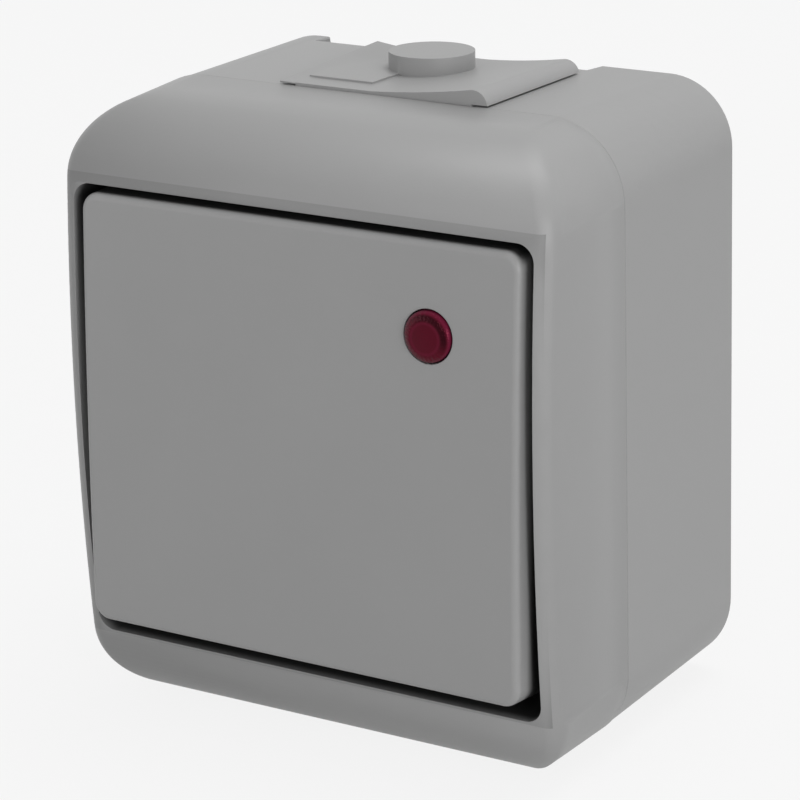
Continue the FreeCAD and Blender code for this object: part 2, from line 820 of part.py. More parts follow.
def make_mechanism_base():
    """Tray for the live parts: lugs, contact seat, clamp pocket and wire holes."""
    tray = prism(
        2 * base_half_width, 2 * base_half_height, base_corner, (y_base, y_base_back), 0.0, window_z
    )
    room = prism(
        2 * (base_half_width - base_wall),
        2 * (base_half_height - base_wall),
        base_corner - base_wall / 2,
        (y_base - cut_margin, y_floor),
        0.0,
        window_z,
    )
    solids = [tray.cut(room)]
    cuts = []
    for x, z in lug_places():
        inner = math.copysign(base_half_width - base_wall / 2, x)
        outer = math.copysign(post_shift + lug_margin, x)
        lug_span = (min(inner, outer), max(inner, outer))
        solids.append(block(lug_span, (y_base, y_base + lug_thickness), span(z, lug_width)))
        hole = (y_base - cut_margin, y_base + lug_thickness + cut_margin)
        cuts.append(rod(screw_radius + screw_hole_play, hole, x, z))
    y_seat = y_switched_strip + strip_thickness
    seat_right = clamp_shift - clamp_length / 2 - seat_margin
    seat_left = -strip_width / 2 - seat_margin
    seat_height = strip_width + 2 * seat_margin
    seat_span = (y_seat, y_floor + base_floor / 2)
    solids.append(block((seat_left, seat_right), seat_span, span(contact_z, seat_height)))
    for x, y_strip_back, z in clamp_places():
        y_clamp_back = y_strip_back + clamp_play + clamp_wall
        pocket = (y_floor - cut_margin, y_clamp_back + clamp_play)
        if y_clamp_back > y_floor:
            length = clamp_length + 2 * seat_margin
            width = clamp_width + 2 * seat_margin
            cuts.append(block(span(x, length), pocket, span(z, width)))
        y_wire = y_strip_back + clamp_play - clamp_room / 2
        wall_x = math.copysign(base_half_width, x)
        cuts.append(axle(wire_hole_radius, span(wall_x, 4 * base_wall), y_wire, z))
    return without(joined(solids), cuts)


def make_mechanism_cover():
    """Lid of the tray with a sealing collar, two pivot cheeks and holes for the screwdriver."""
    lid = prism(2 * base_half_width, 2 * base_half_height, base_corner, (y_lid, y_base), 0.0, window_z)
    collar = prism(
        2 * collar_half_width, 2 * collar_half_height, collar_corner, (y_collar, y_lid), 0.0, window_z
    )
    room = prism(
        2 * (collar_half_width - collar_wall),
        2 * (collar_half_height - collar_wall),
        collar_corner - collar_wall / 2,
        (y_collar - cut_margin, y_lid),
        0.0,
        window_z,
    )
    solids = [lid, collar.cut(room)]
    cuts = []
    cheek_radius = trunnion_diameter / 2 + cheek_wall
    for side in (-1, 1):
        middle = side * (cheek_inner_half + cheek_thickness / 2)
        cheek_span = span(middle, cheek_thickness)
        solids.append(axle(cheek_radius, cheek_span, pivot.y, pivot.z))
        solids.append(block(cheek_span, (pivot.y, y_lid), span(pivot.z, 2 * cheek_radius)))
        hole_span = span(middle, cheek_thickness + 2 * cheek_play)
        cuts.append(axle(trunnion_diameter / 2 + trunnion_play, hole_span, pivot.y, pivot.z))
    through = (y_lid - cut_margin, y_base + cut_margin)
    cuts.append(
        block(span(0.0, 2 * lid_slot_half_width), through, span(window_z, 2 * lid_slot_half_height))
    )
    for x, y_strip_back, z in clamp_places():
        cuts.append(rod(driver_hole_radius, through, x, z))
    for z in (lens_z - leg_half_spacing, lens_z + leg_half_spacing):
        cuts.append(rod(leg_radius + leg_hole_play, through, lens_shift, z))
    return without(joined(solids), cuts)


def make_mechanism_gasket():
    """Sealing ring between the collar and the back of the pan."""
    height = (y_pan_back, y_collar)
    ring = prism(2 * collar_half_width, 2 * collar_half_height, collar_corner, height, 0.0, window_z)
    room = prism(
        2 * (collar_half_width - collar_wall),
        2 * (collar_half_height - collar_wall),
        collar_corner - collar_wall / 2,
        (y_pan_back - cut_margin, y_collar + cut_margin),
        0.0,
        window_z,
    )
    return ring.cut(room)


def make_contact_rocker():
    """Formed strip with a half-round channel that sits over the fulcrum."""
    x_span = span(0.0, seesaw_width)
    strip = block(
        x_span, (seesaw_axis.y - strip_thickness, seesaw_axis.y), span(window_z, 2 * seesaw_half_length)
    )
    bump = axle(seesaw_bump, x_span, seesaw_axis.y, seesaw_axis.z)
    behind = block(
        span(0.0, seesaw_width + cut_margin),
        (seesaw_axis.y, seesaw_axis.y + 2 * seesaw_bump),
        span(window_z, 2 * seesaw_half_length + cut_margin),
    )
    channel_span = span(0.0, seesaw_width + cut_margin)
    channel = axle(fulcrum_radius + fulcrum_play, channel_span, seesaw_axis.y, seesaw_axis.z)
    return seesaw_at_rest(joined([strip, bump]).cut(behind).cut(channel))


def make_moving_contact():
    """Contact rivet behind the upper arm of the seesaw."""
    contact = rod(contact_radius, (seesaw_axis.y, seesaw_axis.y + contact_height), 0.0, contact_z)
    return seesaw_at_rest(contact)


def make_common_terminal():
    """Strip on the floor of the tray with an upright blade as fulcrum."""
    strip = block(
        (-strip_reach, fulcrum_width / 2), (y_common_strip, y_floor), span(window_z, strip_width)
    )
    blade_span = span(0.0, fulcrum_width)
    blade = block(blade_span, (seesaw_axis.y, y_common_strip), span(window_z, 2 * fulcrum_radius))
    edge = axle(fulcrum_radius, blade_span, seesaw_axis.y, seesaw_axis.z)
    return joined([strip, blade, edge])


def make_switched_terminal():
    """Strip that carries the fixed contact, on the seat in the tray."""
    y_span = (y_switched_strip, y_switched_strip + strip_thickness)
    return block((-strip_width / 2, strip_reach), y_span, span(contact_z, strip_width))


def make_fixed_contact():
    """Contact rivet in front of the switched strip."""
    return rod(contact_radius, (y_fixed_contact, y_switched_strip), 0.0, contact_z)


def make_terminal_clamps():
    """Two cages that grip strip and wire."""
    clamps = []
    for x, y_strip_back, z in clamp_places():
        y_inside = y_strip_back + clamp_play
        y_room = y_inside - clamp_room
        length = span(x, clamp_length)
        cage = block(length, (y_room - clamp_thread_wall, y_inside + clamp_wall), span(z, clamp_width))
        through = span(x, clamp_length + cut_margin)
        room = block(through, (y_room, y_inside), span(z, clamp_width - 2 * clamp_wall))
        hole = rod(screw_radius + thread_play, (y_room - 2 * clamp_thread_wall, y_room + clamp_play), x, z)
        clamps.append(cage.cut(room).cut(hole))
    return Part.makeCompound(clamps)


def make_terminal_screws():
    """Two screws of the clamp cages."""
    screws = []
    for x, y_strip_back, z in clamp_places():
        y_tip_end = y_strip_back - strip_thickness - terminal_tip_gap
        y_seat = y_strip_back + clamp_play - clamp_room - clamp_thread_wall - terminal_head_gap
        length = y_tip_end - y_seat
        screws.append(
            slotted_screw(x, y_seat, z, screw_radius, length, terminal_head_radius, terminal_head_height)
        )
    return Part.makeCompound(screws)


def make_lamp_holder():
    """Socket for the lamp on the lid."""
    cup = rod(holder_radius, (y_lid - holder_height, y_lid), lens_shift, lens_z)
    y_seat = y_lid - holder_floor
    cuts = [rod(bulb_radius + bulb_play, (y_lid - holder_height - cut_margin, y_seat), lens_shift, lens_z)]
    for z in (lens_z - leg_half_spacing, lens_z + leg_half_spacing):
        cuts.append(rod(leg_radius + leg_hole_play, (y_seat - cut_margin, y_lid + cut_margin), lens_shift, z))
    return without(cup, cuts)


def make_lamp_bulb():
    """Glass of the lamp, round in front."""
    y_foot = y_lid - holder_floor - bulb_play
    y_round = y_pan - bulb_proud + bulb_radius
    glass = rod(bulb_radius, (y_round, y_foot), lens_shift, lens_z)
    return joined([glass, Part.makeSphere(bulb_radius, V(lens_shift, y_round, lens_z))])


def bent_wire(points, radius, bend):
    """Round wire along straight runs joined by tangent bends."""
    edges = []
    start = points[0]
    for before, corner, after in zip(points, points[1:], points[2:]):
        back = (before - corner).normalize()
        ahead = (after - corner).normalize()
        first = corner + back * bend
        last = corner + ahead * bend
        centre = corner + (back + ahead) * bend
        middle = centre - (back + ahead).normalize() * bend
        edges.append(Part.makeLine(start, first))
        edges.append(Part.Arc(first, middle, last).toShape())
        start = last
    edges.append(Part.makeLine(start, points[-1]))
    section = wire_section(radius, points[0], points[1] - points[0])
    return Part.Wire(edges).makePipeShell([section], True, True)


def leg_line():
    """Depth at which the long lamp wire crosses the tray."""
    return y_base + leg_wall_gap


def make_lamp_legs():
    """Two lamp wires, one to each clamp cage."""
    y_start = y_lid - holder_floor + bulb_play
    low = V(lens_shift, y_start, lens_z - leg_half_spacing)
    high = V(lens_shift, y_start, lens_z + leg_half_spacing)
    common, switched = clamp_places()
    y_switched = switched[1] + clamp_play - 2 * clamp_room / 3
    z_switched = switched[2] + strip_width / 2 - leg_bend
    short_leg = [
        low,
        V(low.x, y_switched, low.z),
        V(low.x, y_switched, z_switched),
        V(switched[0] + clamp_length / 2 - leg_reach, y_switched, z_switched),
    ]
    y_common = common[1] + clamp_play - 2 * clamp_room / 3
    z_common = common[2] + strip_width / 2 - leg_bend
    cross_x = -leg_crossing_shift
    long_leg = [
        high,
        V(high.x, leg_line(), high.z),
        V(cross_x, leg_line(), high.z),
        V(cross_x, leg_line(), z_common),
        V(cross_x, y_common, z_common),
        V(common[0] + clamp_length / 2 - leg_reach, y_common, z_common),
    ]
    legs = [bent_wire(line, leg_radius, leg_bend) for line in (short_leg, long_leg)]
    return Part.makeCompound(legs)


def make_lamp_resistor():
    """Series resistor threaded on the long lamp wire."""
    z = lens_z + leg_half_spacing
    body = axle(resistor_radius, span(resistor_shift, resistor_length), leg_line(), z)
    bore_span = span(resistor_shift, resistor_length + cut_margin)
    return body.cut(axle(leg_radius + resistor_play, bore_span, leg_line(), z))


PIECES = {
    "rear_box": make_rear_box,
    "front_cover": make_front_cover,
    "cover_gasket": make_cover_gasket,
    "cover_screws": make_cover_screws,
    "cable_entry_insert": make_cable_entry_insert,
    "rocker": make_rocker,
    "indicator_lens": make_indicator_lens,
    "actuator_cradle": make_actuator_cradle,
    "actuator_plunger": make_actuator_plunger,
    "actuator_spring": make_actuator_spring,
    "mechanism_base": make_mechanism_base,
    "mechanism_cover": make_mechanism_cover,
    "mechanism_gasket": make_mechanism_gasket,
    "mechanism_screws": make_mechanism_screws,
    "contact_rocker": make_contact_rocker,
    "moving_contact": make_moving_contact,
    "common_terminal": make_common_terminal,
    "switched_terminal": make_switched_terminal,
    "fixed_contact": make_fixed_contact,
    "terminal_clamps": make_terminal_clamps,
    "terminal_screws": make_terminal_screws,
    "lamp_holder": make_lamp_holder,
    "lamp_bulb": make_lamp_bulb,
    "lamp_legs": make_lamp_legs,
    "lamp_resistor": make_lamp_resistor,
}


def main():
    """Writes one file for each piece."""
    os.makedirs("parts", exist_ok=True)
    for name, make in PIECES.items():
        make().exportStep(os.path.join("parts", name + ".step"))


main()
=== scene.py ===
"""Looks of a surface-mounted weatherproof rocker switch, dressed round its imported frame."""

import json
import logging
import math
from dataclasses import dataclass, field
from enum import Enum
from typing import Any, Optional, Union

import bmesh
import bpy
from mathutils import Matrix, Vector
from mathutils.kdtree import KDTree


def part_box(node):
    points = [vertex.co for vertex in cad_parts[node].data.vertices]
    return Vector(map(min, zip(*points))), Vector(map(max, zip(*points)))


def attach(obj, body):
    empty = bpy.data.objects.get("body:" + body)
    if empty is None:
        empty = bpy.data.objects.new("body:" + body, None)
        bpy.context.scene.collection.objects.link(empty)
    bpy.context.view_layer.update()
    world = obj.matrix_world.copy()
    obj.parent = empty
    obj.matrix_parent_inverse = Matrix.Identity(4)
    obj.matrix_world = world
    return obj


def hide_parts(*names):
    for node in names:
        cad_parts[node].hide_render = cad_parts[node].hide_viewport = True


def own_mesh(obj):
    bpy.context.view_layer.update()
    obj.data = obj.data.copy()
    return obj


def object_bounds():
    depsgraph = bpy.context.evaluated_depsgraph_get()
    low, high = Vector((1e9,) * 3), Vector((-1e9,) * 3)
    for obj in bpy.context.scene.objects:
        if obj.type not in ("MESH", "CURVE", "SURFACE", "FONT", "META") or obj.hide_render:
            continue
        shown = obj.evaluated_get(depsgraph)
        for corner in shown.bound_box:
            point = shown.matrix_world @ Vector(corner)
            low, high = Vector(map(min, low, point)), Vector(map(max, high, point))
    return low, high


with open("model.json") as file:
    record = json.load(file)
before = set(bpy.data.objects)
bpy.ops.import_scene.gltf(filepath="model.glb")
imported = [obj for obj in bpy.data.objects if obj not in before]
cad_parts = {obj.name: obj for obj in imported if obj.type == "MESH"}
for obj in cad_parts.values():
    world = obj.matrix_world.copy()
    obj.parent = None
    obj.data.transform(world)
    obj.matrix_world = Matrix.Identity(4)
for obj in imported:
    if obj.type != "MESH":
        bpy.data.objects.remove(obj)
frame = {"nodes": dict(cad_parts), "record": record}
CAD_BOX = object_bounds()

MM = 0.001
Colour = tuple[float, float, float]
Place = tuple[float, float, float]
log = logging.getLogger("rocker_switch")


class Body(Enum):
    """Bodies of the frame that a piece can ride on."""

    CASE = "case"
    KEY = "key"
    PLUNGER = "plunger"


class Grain(Enum):
    """Kinds of surface that a moulding tool leaves."""

    SPARKED = "sparked"
    SATIN = "satin"
    SMOOTH = "smooth"


# Node sheets


class Term:
    """A node socket that takes part in arithmetic: each operation adds a Math node."""

    def __init__(self, sheet: "NodeSheet", socket: bpy.types.NodeSocket) -> None:
        """Keeps the socket and the sheet that it belongs to."""
        self.sheet = sheet
        self.socket = socket

    def _math(self, operation: str, first: "Number", second: "Number" = 0.0) -> "Term":
        """Adds one Math node and returns its result."""
        return self.sheet.term("ShaderNodeMath", {"operation": operation}, {0: first, 1: second})

    def __add__(self, other: "Number") -> "Term":
        """This plus other."""
        return self._math("ADD", self, other)

    def __radd__(self, other: "Number") -> "Term":
        """Other plus this."""
        return self._math("ADD", other, self)

    def __sub__(self, other: "Number") -> "Term":
        """This less other."""
        return self._math("SUBTRACT", self, other)

    def __rsub__(self, other: "Number") -> "Term":
        """Other less this."""
        return self._math("SUBTRACT", other, self)

    def __mul__(self, other: "Number") -> "Term":
        """This times other."""
        return self._math("MULTIPLY", self, other)

    def __rmul__(self, other: "Number") -> "Term":
        """Other times this."""
        return self._math("MULTIPLY", other, self)

    def __truediv__(self, other: "Number") -> "Term":
        """This divided by other."""
        return self._math("DIVIDE", self, other)

    def larger(self, other: "Number") -> "Term":
        """The larger of this and other."""
        return self._math("MAXIMUM", self, other)

    def below(self, limit: "Number") -> "Term":
        """One where this is under the limit, else zero."""
        return self._math("LESS_THAN", self, limit)

    def root(self) -> "Term":
        """Square root of this."""
        return self._math("SQRT", self)

    def size(self) -> "Term":
        """This without its sign."""
        return self._math("ABSOLUTE", self)

    def part(self) -> "Term":
        """What is left of this over a whole number."""
        return self._math("FRACT", self)

    def sine(self) -> "Term":
        """Sine of this angle in radians."""
        return self._math("SINE", self)

    def cosine(self) -> "Term":
        """Cosine of this angle in radians."""
        return self._math("COSINE", self)

    def ramped(self, low: float, high: float, top: "Number" = 1.0, smooth: bool = True) -> "Term":
        """A step of this.

        Args:
            low: value that gives 0.
            high: value that gives the top.
            top: the largest result.
            smooth: whether the step has soft ends.

        Returns:
            The step, held between 0 and the top.
        """
        kind = "SMOOTHSTEP" if smooth else "LINEAR"
        inputs = {"Value": self, "From Min": low, "From Max": high, "To Max": top}
        return self.sheet.term("ShaderNodeMapRange", {"interpolation_type": kind, "clamp": True}, inputs)


Number = Union[Term, float]


class NodeSheet:
    """A node tree that is written node by node."""

    def __init__(self, tree: bpy.types.NodeTree) -> None:
        """Clears a tree to write on.

        Args:
            tree: the node tree.
        """
        self.tree = tree
        tree.nodes.clear()

    def add(
        self, kind: str, settings: Optional[dict] = None, inputs: Optional[dict] = None
    ) -> bpy.types.Node:
        """Adds one node.

        Args:
            kind: type of the node.
            settings: its properties, set before its sockets.
            inputs: values, terms or sockets by socket name or number.

        Returns:
            The new node.
        """
        node = self.tree.nodes.new(kind)
        for key, value in (settings or {}).items():
            setattr(node, key, value)
        for key, value in (inputs or {}).items():
            self.feed(node, key, value)
        return node

    def feed(self, node: bpy.types.Node, key: Union[str, int], value: Any) -> None:
        """Sets or links one input of a node.

        Args:
            node: the node.
            key: name or number of the socket.
            value: a plain value, a term, a socket or a node, whose first output is meant.
        """
        socket = node.inputs[key]
        if isinstance(value, Term):
            value = value.socket
        if isinstance(value, bpy.types.Node):
            value = value.outputs[0]
        if isinstance(value, bpy.types.NodeSocket):
            self.tree.links.new(value, socket)
        else:
            socket.default_value = value

    def term(
        self,
        kind: str,
        settings: Optional[dict] = None,
        inputs: Optional[dict] = None,
        output: Union[str, int] = 0,
    ) -> Term:
        """Adds a node as add does.

        Args:
            kind: type of the node.
            settings: its properties.
            inputs: its values or links.
            output: name or number of the output.

        Returns:
            That output as a term.
        """
        return Term(self, self.add(kind, settings, inputs).outputs[output])

    def split(self, vector: Any) -> tuple[Term, Term, Term]:
        """The three parts of a vector."""
        parts = self.add("ShaderNodeSeparateXYZ", {}, {0: vector}).outputs
        return Term(self, parts[0]), Term(self, parts[1]), Term(self, parts[2])


class ShaderSheet(NodeSheet):
    """The node tree of one material, with a principled shader at its end."""

    def __init__(self, name: str) -> None:
        """Starts an empty sheet.

        Args:
            name: name of the new material.
        """
        self.material = bpy.data.materials.new(name)
        self.material.use_nodes = True
        super().__init__(self.material.node_tree)
        self.surface = self.add("ShaderNodeBsdfPrincipled")
        self.output = self.add("ShaderNodeOutputMaterial", {}, {"Surface": self.surface})

    def place(self) -> bpy.types.NodeSocket:
        """Object coordinates, in metres."""
        return self.add("ShaderNodeTexCoord").outputs["Object"]

    def noise(self, size: float, detail: float = 2.0, roughness: float = 0.5) -> Term:
        """Noise over the piece.

        Args:
            size: width of one patch in metres.
            detail: number of finer layers.
            roughness: strength of the finer layers.

        Returns:
            The noise, about 0.5 in the mean.
        """
        inputs = {"Vector": self.place(), "Scale": 1.0 / size, "Detail": detail, "Roughness": roughness}
        return self.term("ShaderNodeTexNoise", {}, inputs, "Fac")

    def blend(self, factor: Number, first: Any, second: Any) -> bpy.types.NodeSocket:
        """A mix of two colours.

        Args:
            factor: share of the second colour.
            first: colour or socket.
            second: colour or socket.

        Returns:
            The socket of the mixed colour.
        """
        node = self.add("ShaderNodeMix", {"data_type": "RGBA"}, {0: factor})
        for number, colour in ((6, first), (7, second)):
            self.feed(node, number, (*colour, 1.0) if isinstance(colour, tuple) else colour)
        return node.outputs[2]

    def raise_surface(self, height: Term, depth: float, strength: float = 1.0) -> None:
        """Bumps the surface.

        Args:
            height: the height field, 0 to 1.
            depth: height in metres that 1 stands for.
            strength: share of the bump that is used.
        """
        inputs = {"Strength": strength, "Distance": depth, "Height": height}
        self.feed(self.surface, "Normal", self.add("ShaderNodeBump", {}, inputs))

    def set(self, **values: Any) -> None:
        """Sets the shader's own sockets.

        Args:
            values: values or links by socket name, with _ for a space.
        """
        for key, value in values.items():
            name = key.replace("_", " ")
            self.feed(self.surface, name, (*value, 1.0) if isinstance(value, tuple) else value)


class FormSheet(NodeSheet):
    """A geometry tree with named sizes that makes one piece."""

    def __init__(self, name: str) -> None:
        """Starts an empty tree.

        Args:
            name: name of the new tree.
        """
        super().__init__(bpy.data.node_groups.new(name, "GeometryNodeTree"))
        for way in ("INPUT", "OUTPUT"):
            self.tree.interface.new_socket("Geometry", in_out=way, socket_type="NodeSocketGeometry")
        self.entry = self.add("NodeGroupInput")
        self.values: dict[str, float] = {}

    def named(self, name: str, value: float) -> Term:
        """Adds a named size.

        Args:
            name: name of the input.
            value: its value for this piece.

        Returns:
            The size as a term.
        """
        socket = self.tree.interface.new_socket(name, in_out="INPUT", socket_type="NodeSocketFloat")
        self.values[socket.identifier] = value
        return Term(self, self.entry.outputs[name])

    def vector(self, x: Number, y: Number, z: Number) -> bpy.types.NodeSocket:
        """A vector from its three parts."""
        return self.add("ShaderNodeCombineXYZ", {}, {0: x, 1: y, 2: z}).outputs[0]

    def sheet_to_roll(self, rows: int, columns: int) -> tuple[bpy.types.NodeSocket, Term, Term]:
        """A flat sheet that is going to be rolled up.

        Args:
            rows: rows of points along the axis.
            columns: faces round the axis.

        Returns:
            The sheet, the number of a point's row and its share of the turn.
        """
        sizes = {"Size X": rows - 1.0, "Size Y": 1.0, "Vertices X": rows, "Vertices Y": columns + 1}
        grid = self.add("GeometryNodeMeshGrid", {}, sizes)
        x, y, _ = self.split(self.add("GeometryNodeInputPosition"))
        return grid.outputs["Mesh"], x + (rows - 1.0) / 2, y + 0.5

    def rolled(self, sheet: Any, turn: Term, radius: Term, along: Term) -> bpy.types.Node:
        """Rolls a sheet up round the y axis and closes its seam and poles.

        Args:
            sheet: the flat sheet.
            turn: share of the turn of each point.
            radius: distance of each point from the axis.
            along: place of each point on the axis.

        Returns:
            The node of the closed form.
        """
        angle = turn * math.tau
        place = self.vector(radius * angle.cosine(), along, radius * angle.sine())
        moved = self.add("GeometryNodeSetPosition", {}, {"Geometry": sheet, "Position": place})
        return self.add("GeometryNodeMergeByDistance", {}, {"Geometry": moved, "Distance": 0.001 * MM})

    def shaded(self, form: Any, limit: float = 34.0) -> bpy.types.Node:
        """Shades a form smooth, apart from its sharp edges.

        Args:
            form: the form.
            limit: angle in degrees from which an edge is sharp.

        Returns:
            The node of the shaded form.
        """
        smooth = self.add("GeometryNodeSetShadeSmooth", {"domain": "FACE"}, {0: form})
        fold = self.term("GeometryNodeInputMeshEdgeAngle")
        inputs = {0: smooth, "Shade Smooth": fold.below(math.radians(limit))}
        return self.add("GeometryNodeSetShadeSmooth", {"domain": "EDGE"}, inputs)

    def made(self, name: str, form: Any, material: bpy.types.Material, points: list) -> bpy.types.Object:
        """Ends the tree and makes its piece.

        Args:
            name: name of the piece.
            form: the finished form.
            material: its material.
            points: points that the tree starts from.

        Returns:
            The piece with a plain mesh.
        """
        whole = self.add("GeometryNodeRealizeInstances", {}, {0: form})
        dressed = self.add("GeometryNodeSetMaterial", {}, {"Geometry": whole, "Material": material})
        self.add("NodeGroupOutput", {}, {0: dressed})
        mesh = bpy.data.meshes.new(name)
        mesh.from_pydata(points, [], [])
        piece = link(name, mesh)
        modifier = piece.modifiers.new(name, "NODES")
        modifier.node_group = self.tree
        for identifier, value in self.values.items():
            modifier[identifier] = value
        return plain_mesh(piece)


# Finishes


def scaled(colour: Colour, factor: float) -> Colour:
    """A colour made lighter or darker by a factor."""
    return tuple(min(1.0, factor * part) for part in colour)


GRAIN_SIZE = {Grain.SPARKED: 0.26 * MM, Grain.SATIN: 0.16 * MM, Grain.SMOOTH: 0.5 * MM}
GRAIN_DEPTH = {Grain.SPARKED: 0.010 * MM, Grain.SATIN: 0.005 * MM, Grain.SMOOTH: 0.003 * MM}


@dataclass(frozen=True)
class ShadedWell:
    """The recess round the key, darkened with painted shade behind a given depth."""

    low: Place
    high: Place
    start: float
    end: float
    lean: float = 0.0
    brow: Optional[tuple[float, float]] = None
    brow_height: float = 2.6 * MM
    back: float = -26.0 * MM
    # Colour factor of the painted shade at its darkest.
    shade_factor: float = 0.1

    def share(self, sheet: ShaderSheet) -> Term:
        """Share of the painted shade: 1 deep inside the recess, 0 outside it.

        Args:
            sheet: the sheet of the material.

        Returns:
            The share as a term.
        """
        x, y, z = sheet.split(sheet.place())
        middle = [(low + high) / 2 for low, high in zip(self.low, self.high)]
        half = [(high - low) / 2 for low, high in zip(self.low, self.high)]
        inside = (x - middle[0]).size().below(half[0]) * (z - middle[2]).size().below(half[2])
        depth = y - z * self.lean
        # Painted shade: darker the deeper a point lies in the recess, and from a smaller depth under the
        # brow at the top.
        share = depth.ramped(self.start, self.end)
        if self.brow:
            upper = z.ramped(self.high[2] - 1.5 * self.brow_height, self.high[2] - self.brow_height)
            share = share.larger(upper * depth.ramped(*self.brow))
        return inside * y.below(self.back) * share


@dataclass(frozen=True)
class MouldedPlastic:
    """Thermoplastic from a moulding tool: faint clouds, fine grain, an uneven sheen and, where a recess
    is given, painted shade in it.
    """

    name: str
    colour: Colour
    roughness: float
    grain: Grain
    recess_shade: Optional[ShadedWell] = None
    cloud_size: float = 14.0 * MM
    cloud_share: float = 0.035
    grain_share: float = 0.3
    sheen_share: float = 0.06
    specular: float = 0.45
    grain_strength: float = 0.6

    def make(self) -> bpy.types.Material:
        """Builds the material."""
        sheet = ShaderSheet(self.name)
        clouds = sheet.noise(self.cloud_size, 3.0)
        grain = sheet.noise(GRAIN_SIZE[self.grain], 2.0, 0.6)
        dark = scaled(self.colour, 1.0 - self.cloud_share)
        light = scaled(self.colour, 1.0 + self.cloud_share)
        mottle = clouds * (1.0 - self.grain_share) + grain * self.grain_share
        colour = sheet.blend(mottle, dark, light)
        # Painted shade: the colour darkens deep in the recess round the key.
        if self.recess_shade:
            colour = sheet.blend(self.recess_shade.share(sheet), colour, scaled(self.colour, self.recess_shade.shade_factor))
        sheet.set(
            Base_Color=colour,
            Roughness=self.roughness - self.sheen_share + (clouds + grain) * self.sheen_share,
            Specular_IOR_Level=self.specular,
        )
        sheet.raise_surface(grain, GRAIN_DEPTH[self.grain], self.grain_strength)
        return sheet.material


@dataclass(frozen=True)
class ClearLens:
    """Tinted clear plastic with a dark core, a painted bright edge, painted shade on the upper right of
    the shoulder and a moulded sparkle.
    """

    name: str
    core: Colour
    rim: Colour
    centre: Place
    radius: float
    roughness: float = 0.06
    specular: float = 0.25
    specular_tint: Colour = (1.0, 0.2, 0.3)
    sparkle_size: float = 0.2 * MM
    sparkle_depth: float = 0.06 * MM
    shoulder_shade: float = 0.92

    def make(self) -> bpy.types.Material:
        """Builds the material."""
        sheet = ShaderSheet(self.name)
        x, _, z = sheet.split(sheet.place())
        across, up = x - self.centre[0], z - self.centre[2]
        share = (across * across + up * up).root() / self.radius
        # The ring lightens a faint band near the top's edge; the edge is a painted glow towards the rim
        # colour.
        ring = share.ramped(0.5, 0.6) - share.ramped(0.6, 0.7)
        edge = share.ramped(0.86, 1.0)
        # Painted shade: the shoulder is darkened, most towards the upper right.
        shaded_shoulder = share.ramped(0.6, 0.74) - share.ramped(0.84, 0.96)
        side = ((across + up * 1.4) / self.radius).ramped(-0.3, 0.9)
        sparkle = sheet.noise(self.sparkle_size, 1.0)
        glow = sheet.blend(ring * 0.4 + edge, self.core, self.rim)
        sheet.set(
            Base_Color=sheet.blend(shaded_shoulder * side * self.shoulder_shade, glow, scaled(self.core, 0.1)),
            Roughness=self.roughness + sparkle * 0.04,
            Specular_IOR_Level=self.specular,
            Specular_Tint=self.specular_tint,
        )
        sheet.raise_surface(sparkle * share.ramped(0.55, 0.75), self.sparkle_depth, 0.9)
        return sheet.material


@dataclass(frozen=True)
class SealRubber:
    """Soft black sealing rubber with a dusty bloom."""

    name: str
    colour: Colour
    roughness: float = 0.72

    def make(self) -> bpy.types.Material:
        """Builds the material."""
        sheet = ShaderSheet(self.name)
        bloom = sheet.noise(1.6 * MM, 4.0)
        sheet.set(
            Base_Color=sheet.blend(bloom.ramped(0.45, 0.8), self.colour, scaled(self.colour, 1.8)),
            Roughness=self.roughness + bloom * 0.12,
        )
        sheet.raise_surface(sheet.noise(0.12 * MM, 1.0), 0.008 * MM, 0.5)
        return sheet.material


@dataclass(frozen=True)
class RolledMetal:
    """Rolled or plated metal with fine streaks and a little tarnish."""

    name: str
    colour: Colour
    tarnish: Colour
    roughness: float
    streak: Place = (1.0, 1.0, 14.0)

    def make(self) -> bpy.types.Material:
        """Builds the material."""
        sheet = ShaderSheet(self.name)
        mapping = sheet.add("ShaderNodeMapping", {}, {"Vector": sheet.place(), "Scale": self.streak})
        inputs = {"Vector": mapping, "Scale": 900.0, "Detail": 2.0}
        streaks = sheet.term("ShaderNodeTexNoise", {}, inputs, "Fac")
        stain = sheet.noise(2.4 * MM, 3.0).ramped(0.5, 0.78)
        sheet.set(
            Base_Color=sheet.blend(stain * 0.6, self.colour, self.tarnish),
            Metallic=1.0,
            Roughness=self.roughness + streaks * 0.12 + stain * 0.1,
        )
        sheet.raise_surface(streaks, 0.002 * MM, 0.4)
        return sheet.material


@dataclass(frozen=True)
class LampGlass:
    """Thin clear glass of a small lamp."""

    name: str
    colour: Colour

    def make(self) -> bpy.types.Material:
        """Builds the material."""
        sheet = ShaderSheet(self.name)
        haze = sheet.noise(0.8 * MM, 2.0)
        sheet.set(
            Base_Color=self.colour,
            Roughness=0.03 + haze * 0.05,
            IOR=1.47,
            Transmission_Weight=0.92,
        )
        return sheet.material


@dataclass(frozen=True)
class LacqueredCeramic:
    """Ceramic body of a small resistor under a lacquer."""

    name: str
    colour: Colour

    def make(self) -> bpy.types.Material:
        """Builds the material."""
        sheet = ShaderSheet(self.name)
        dips = sheet.noise(0.5 * MM, 3.0)
        sheet.set(
            Base_Color=sheet.blend(dips, scaled(self.colour, 0.88), scaled(self.colour, 1.1)),
            Roughness=0.28 + dips * 0.15,
            Coat_Weight=0.4,
        )
        sheet.raise_surface(dips, 0.015 * MM, 0.5)
        return sheet.material


